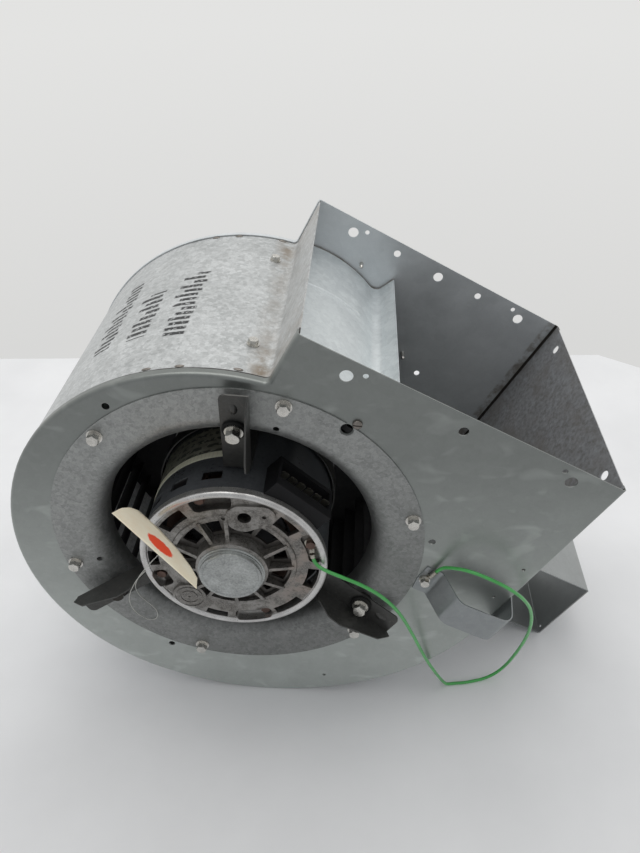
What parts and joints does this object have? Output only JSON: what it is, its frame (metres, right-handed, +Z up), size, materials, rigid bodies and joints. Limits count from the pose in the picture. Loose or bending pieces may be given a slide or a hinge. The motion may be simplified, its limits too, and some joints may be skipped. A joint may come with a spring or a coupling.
{
  "type": "direct-drive centrifugal furnace blower",
  "caption": "Sheet-steel scroll blower with a forward-curved squirrel-cage wheel on a belly-band mounted motor, square outlet and round inlet each side",
  "frame": {"origin": "on the wheel axis, in the outer face of the motor-side plate", "axes": "+Y along the wheel axis from the motor side into the housing, +Z up as it rests on a bench, +X towards the outlet side"},
  "size_m": [0.4938, 0.3089, 0.3821],
  "materials": {
    "galvanised_front": "spangled zinc coating, dulled",
    "galvanised_light": "bright spangled zinc coating",
    "galvanised_dark": "zinc coating in shade, stained",
    "wheel_steel": "dull zinc coating",
    "zinc_screw": "zinc plated",
    "dark_steel": "dark oxide paint, worn",
    "shell_black": "black semi-gloss paint",
    "cast_aluminium": "as cast, satin",
    "cap_steel": "mottled grey",
    "ground_steel": "ground bright",
    "lamination": "laminated",
    "copper": "varnished copper",
    "black_plastic": "moulded",
    "tinned": "tinned",
    "label_paper": "printed foil, blank",
    "black_rubber": "matt",
    "green_wire": "insulation",
    "tag_card": "manila card, blank",
    "soft_wire": "thin annealed wire"
  },
  "bodies": {
    "housing": {"side_plate_front": "galvanised_front", "side_plate_rear": "galvanised_dark", "scroll_wrapper": "galvanised_light", "cutoff_plate": "galvanised_light", "inlet_ring_front": "galvanised_front", "inlet_ring_rear": "galvanised_front", "ring_screws_front": "zinc_screw", "ring_screws_rear": "zinc_screw", "wrapper_screws": "zinc_screw", "notch_screw": "dark_steel", "cutoff_screw": "zinc_screw", "motor_shell": "shell_black", "motor_bell_front": "cast_aluminium", "motor_bell_rear": "cast_aluminium", "bearing_front": "ground_steel", "bearing_rear": "ground_steel", "bearing_cap": "cap_steel", "stator_core": "lamination", "stator_winding": "copper", "through_bolts": "zinc_screw", "bolt_washers": "zinc_screw", "bolt_nuts": "zinc_screw", "terminal_block": "black_plastic", "terminal_tabs": "tinned", "motor_label": "label_paper", "motor_arm_top": "dark_steel", "motor_arm_left": "dark_steel", "motor_arm_right": "dark_steel", "arm_grommets": "black_rubber", "arm_screws": "zinc_screw", "mounting_band": "dark_steel", "band_bolt": "zinc_screw", "band_nut": "zinc_screw", "support_bracket": "galvanised_light", "bracket_screws": "zinc_screw", "capacitor_strap": "galvanised_light", "ring_terminal_motor": "tinned", "ring_terminal_housing": "tinned", "strap_screw": "zinc_screw", "ground_wire": "green_wire", "tag_wire": "soft_wire", "tag": "tag_card"},
    "wheel": {"wheel_ring_front": "wheel_steel", "wheel_ring_rear": "wheel_steel", "wheel_blades_front": "wheel_steel", "wheel_blades_rear": "wheel_steel", "wheel_centre_disc": "wheel_steel", "wheel_hub": "wheel_steel", "hub_set_screw": "zinc_screw", "motor_shaft": "ground_steel", "rotor": "lamination"}
  },
  "joints": [
    {"name": "wheel_spin", "type": "hinge", "parent": "housing", "child": "wheel", "pos_m": [0, 0, 0], "axis": [0, 1, 0], "continuous": true}
  ]
}
